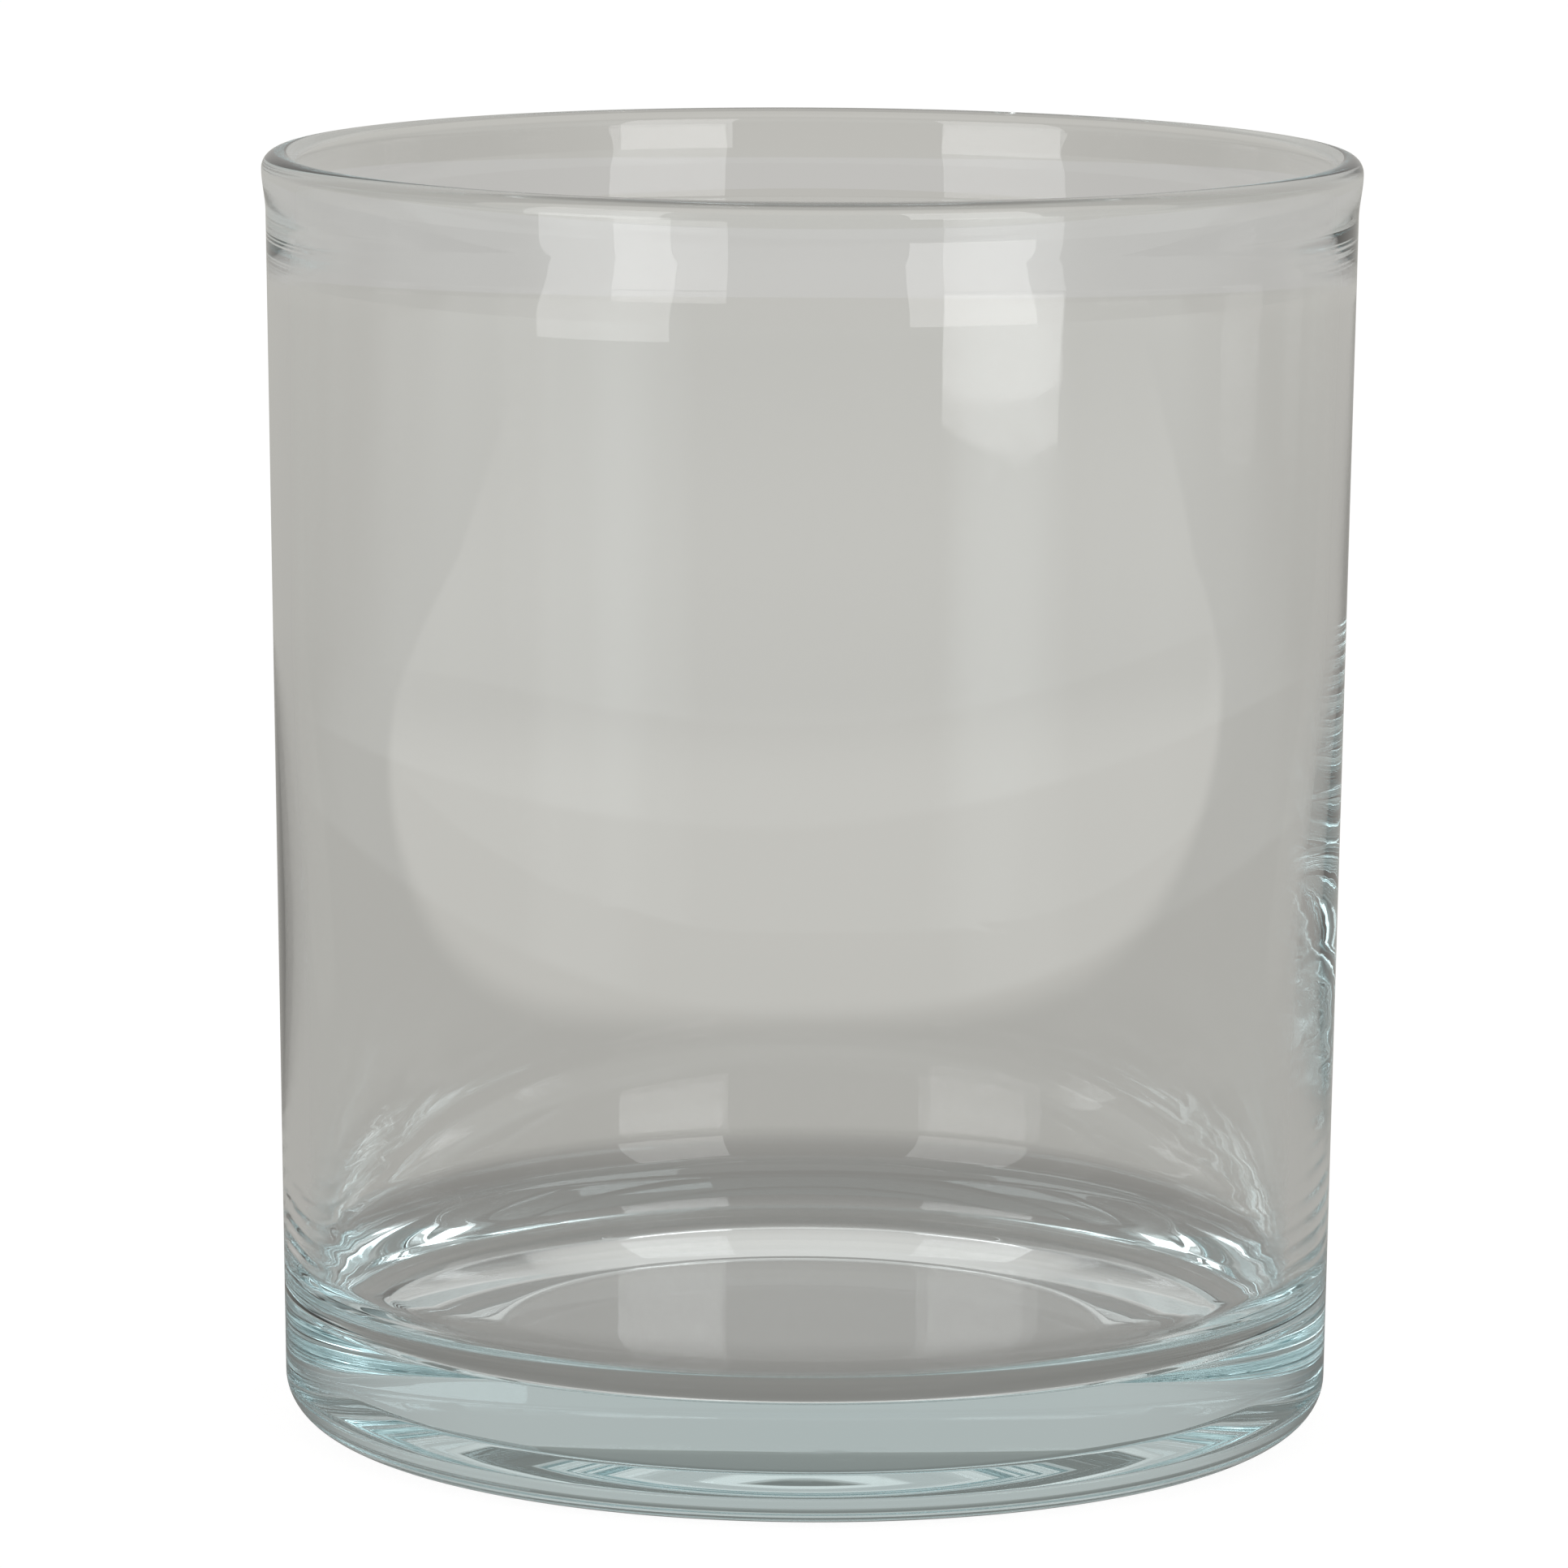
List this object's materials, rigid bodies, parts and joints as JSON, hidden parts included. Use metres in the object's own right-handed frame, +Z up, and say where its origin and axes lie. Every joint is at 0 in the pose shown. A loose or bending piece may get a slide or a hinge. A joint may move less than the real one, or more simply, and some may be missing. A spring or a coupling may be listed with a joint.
{
  "type": "glass cylinder vase",
  "caption": "Clear glass cylinder vase with a thick rounded rim, a slightly tapered wall and a heavy recessed base, for cut flowers.",
  "frame": {"origin": "on the vase's axis, in the plane of the standing ring that it rests on", "axes": "+Z up along the axis, towards the mouth; X and Y are alike, because the vase is round"},
  "size_m": [0.1026, 0.1026, 0.12],
  "materials": {
    "clear_glass": "clear, faint blue-green tint, smooth and fire-polished"
  },
  "bodies": {
    "root": {"glass_vessel": "clear_glass"}
  },
  "joints": []
}
